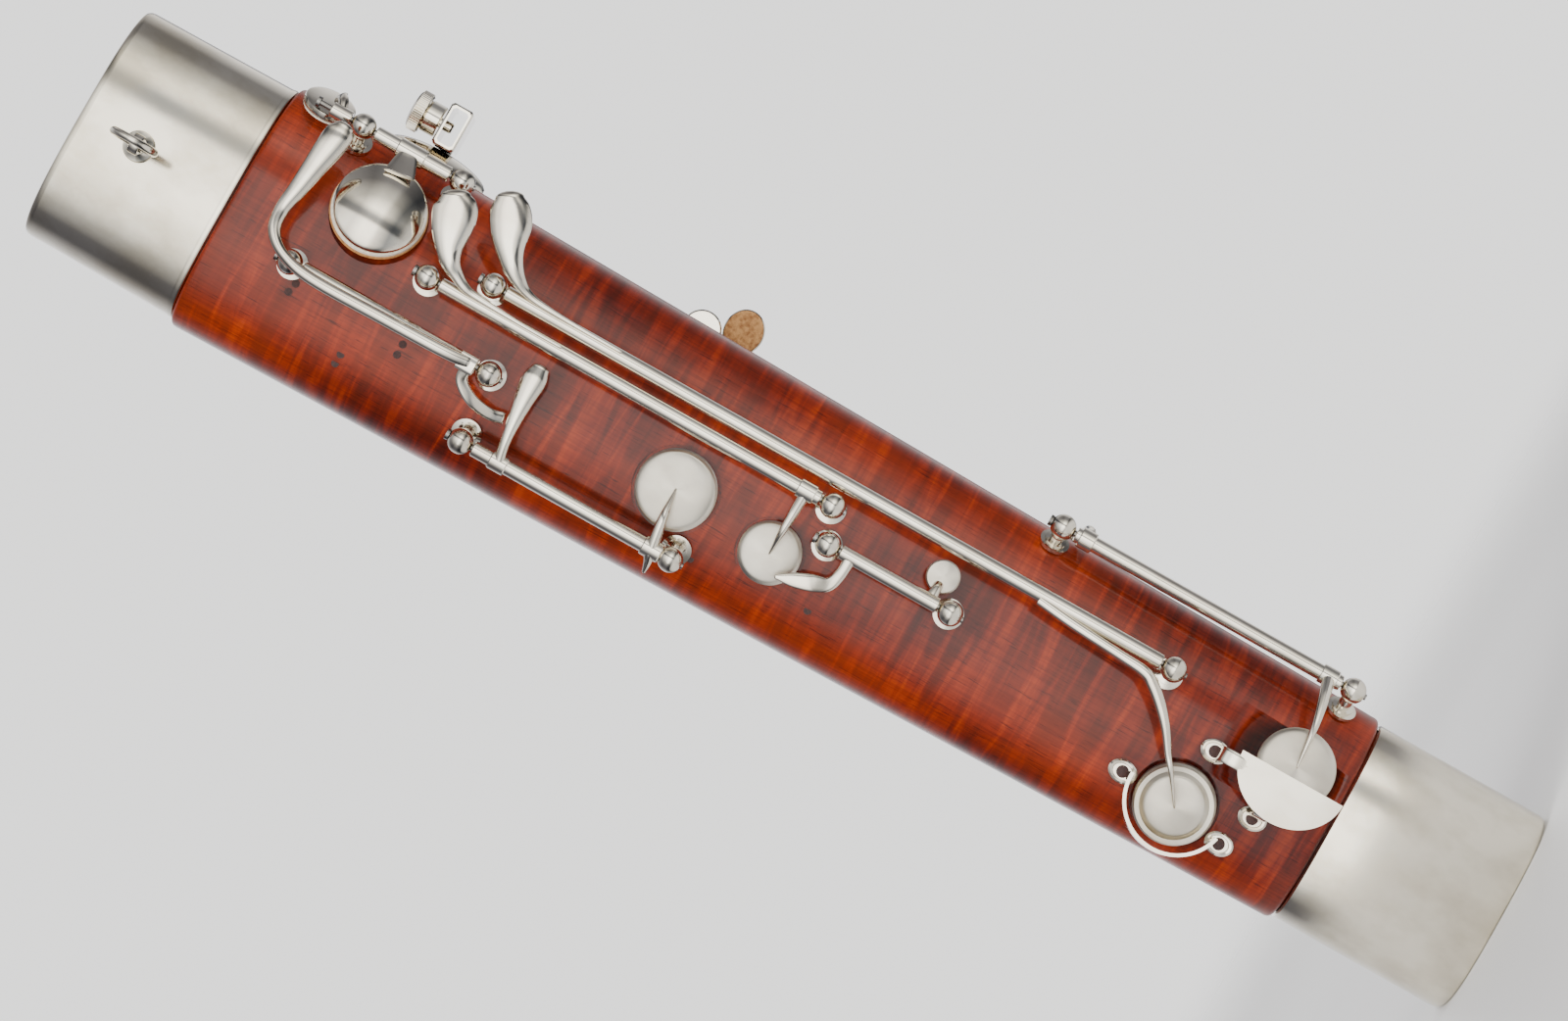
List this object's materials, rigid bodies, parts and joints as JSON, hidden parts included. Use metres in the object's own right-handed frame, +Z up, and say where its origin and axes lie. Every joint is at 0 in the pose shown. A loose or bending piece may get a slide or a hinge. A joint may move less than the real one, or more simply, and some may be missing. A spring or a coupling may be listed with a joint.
{
  "type": "bassoon boot joint",
  "caption": "Double-bored wooden boot joint of a bassoon with metal ferrule and cap, ball-post keywork, pad cups, guards, strap ring and hand rest.",
  "frame": {"origin": "centre of the flat face of the bottom cap, on which the joint stands", "axes": "+Z runs up the bores to the two sockets, -Y is the thumb side, +X is the player's right-hand side with the hand rest"},
  "size_m": [0.0916, 0.0799, 0.445],
  "materials": {
    "stained_maple": "glossy lacquer over red-brown stained, flamed maple",
    "nickel_silver": "polished nickel silver",
    "steel_rod": "blued steel rod screws, turned",
    "brass_tube": "drawn brass tube",
    "cork": "sheet cork",
    "pad_leather": "tan leather over felt"
  },
  "bodies": {
    "boot": {"wood_body": "stained_maple", "top_ferrule": "nickel_silver", "bottom_cap": "nickel_silver", "u_tube": "brass_tube", "u_tube_gasket": "cork", "strap_ring_mount": "nickel_silver", "hand_rest_plate": "nickel_silver", "hand_rest_socket": "nickel_silver", "f_sharp_pad_guard": "nickel_silver", "low_f_pad_guard": "nickel_silver", "b_flat_lever_post_upper": "nickel_silver", "b_flat_lever_post_lower": "nickel_silver", "b_flat_lever_rod": "steel_rod", "b_flat_key_post_upper": "nickel_silver", "b_flat_key_post_lower": "nickel_silver", "b_flat_key_rod": "steel_rod", "low_e_post_upper": "nickel_silver", "low_e_post_lower": "nickel_silver", "a_flat_key_post_upper": "nickel_silver", "a_flat_key_post_lower": "nickel_silver", "a_flat_key_rod": "steel_rod", "f_sharp_key_post_upper": "nickel_silver", "f_sharp_key_post_lower": "nickel_silver", "f_sharp_key_rod": "steel_rod", "link_key_post_upper": "nickel_silver", "link_key_post_lower": "nickel_silver", "link_key_rod": "steel_rod", "low_f_key_post_upper": "nickel_silver", "low_f_key_post_lower": "nickel_silver", "low_f_key_rod": "steel_rod", "g_key_post_upper": "nickel_silver", "g_key_post_lower": "nickel_silver", "g_key_rod": "steel_rod", "f_touch_post_upper": "nickel_silver", "f_touch_post_lower": "nickel_silver", "f_touch_rod": "steel_rod", "a_flat_touch_post_upper": "nickel_silver", "a_flat_touch_post_lower": "nickel_silver", "a_flat_touch_rod": "steel_rod"},
    "b_flat_lever": {"b_flat_lever": "nickel_silver"},
    "b_flat_key": {"b_flat_key": "nickel_silver", "b_flat_pad": "pad_leather"},
    "low_e_key": {"low_e_key": "nickel_silver", "low_e_pad": "pad_leather", "low_e_rod": "steel_rod", "whisper_bridge": "nickel_silver"},
    "a_flat_key": {"a_flat_key": "nickel_silver", "a_flat_pad": "pad_leather"},
    "f_sharp_key": {"f_sharp_key": "nickel_silver", "f_sharp_pad": "pad_leather"},
    "link_key": {"link_key": "nickel_silver"},
    "push_rod": {"push_rod": "steel_rod"},
    "low_f_key": {"low_f_key": "nickel_silver", "low_f_pad": "pad_leather"},
    "g_key": {"g_key": "nickel_silver", "g_pad": "pad_leather"},
    "f_touch": {"f_touch": "nickel_silver"},
    "a_flat_touch": {"a_flat_touch": "nickel_silver"},
    "strap_ring": {"strap_ring": "nickel_silver"},
    "hand_rest_screw": {"hand_rest_screw": "nickel_silver"}
  },
  "joints": [
    {"name": "b_flat_lever_press", "type": "hinge", "parent": "boot", "child": "b_flat_lever", "pos_m": [-0.0075, -0.034, 0.3433], "axis": [0, 0, 1], "range_deg": [0, 8], "stiffness_Nm_per_rad": 0.02, "springref_deg": -17.19},
    {"name": "b_flat_key_turn", "type": "hinge", "parent": "boot", "child": "b_flat_key", "pos_m": [-0.0269, -0.0285, 0.27795], "axis": [0, 0, 1], "range_deg": [-7.6, 0]},
    {"name": "low_e_key_press", "type": "hinge", "parent": "boot", "child": "low_e_key", "pos_m": [0.0349, -0.024, 0.36065], "axis": [0, 0, 1], "range_deg": [-12, 0], "stiffness_Nm_per_rad": 0.02, "springref_deg": 17.19},
    {"name": "a_flat_key_press", "type": "hinge", "parent": "boot", "child": "a_flat_key", "pos_m": [0.0072, -0.0335, 0.27695], "axis": [0, 0, 1], "range_deg": [0, 9], "stiffness_Nm_per_rad": 0.02, "springref_deg": -17.19},
    {"name": "link_key_turn", "type": "hinge", "parent": "boot", "child": "link_key", "pos_m": [-0.0025, -0.033, 0.19115], "axis": [0, 0, 1], "range_deg": [0, 17.5]},
    {"name": "push_rod_slide", "type": "slide", "parent": "boot", "child": "push_rod", "axis": [0, 1, 0], "range_m": [0, 0.0021]},
    {"name": "a_flat_touch_press", "type": "hinge", "parent": "boot", "child": "a_flat_touch", "pos_m": [0.012, 0.0325, 0.2255], "axis": [0, 0, 1], "range_deg": [-13, 0]},
    {"name": "f_sharp_key_press", "type": "hinge", "parent": "boot", "child": "f_sharp_key", "pos_m": [0.014, -0.0325, 0.21765], "axis": [0, 0, 1], "range_deg": [0, 8], "stiffness_Nm_per_rad": 0.02, "springref_deg": -17.19},
    {"name": "f_touch_press", "type": "hinge", "parent": "boot", "child": "f_touch", "pos_m": [0.022, 0.0295, 0.203], "axis": [0, 0, 1], "range_deg": [-9, 0], "stiffness_Nm_per_rad": 0.02, "springref_deg": 17.19},
    {"name": "low_f_key_turn", "type": "hinge", "parent": "boot", "child": "low_f_key", "pos_m": [0.0338, -0.019, 0.11085], "axis": [0, 0, 1], "range_deg": [-8.2, 0]},
    {"name": "g_key_press", "type": "hinge", "parent": "boot", "child": "g_key", "pos_m": [-0.028, 0.027, 0.195], "axis": [0, 0, 1], "range_deg": [-10, 0], "stiffness_Nm_per_rad": 0.02, "springref_deg": 17.19},
    {"name": "strap_ring_swing", "type": "hinge", "parent": "boot", "child": "strap_ring", "pos_m": [0, -0.0302, 0.4265], "axis": [0, 0, 1], "range_deg": [-60, 60]},
    {"name": "hand_rest_screw_turn", "type": "hinge", "parent": "boot", "child": "hand_rest_screw", "pos_m": [0.0478, -0.001, 0.3601], "axis": [0, 0, 1], "continuous": true}
  ],
  "couplings": [
    {"joint": "b_flat_key_turn", "follows": "b_flat_lever_press", "ratio": -0.93},
    {"joint": "link_key_turn", "follows": "a_flat_key_press", "ratio": 1.9},
    {"joint": "push_rod_slide", "follows": "a_flat_key_press", "m_per_rad": 0.01241},
    {"joint": "a_flat_touch_press", "follows": "a_flat_key_press", "ratio": -1.39},
    {"joint": "low_f_key_turn", "follows": "f_touch_press", "ratio": 0.8889}
  ]
}
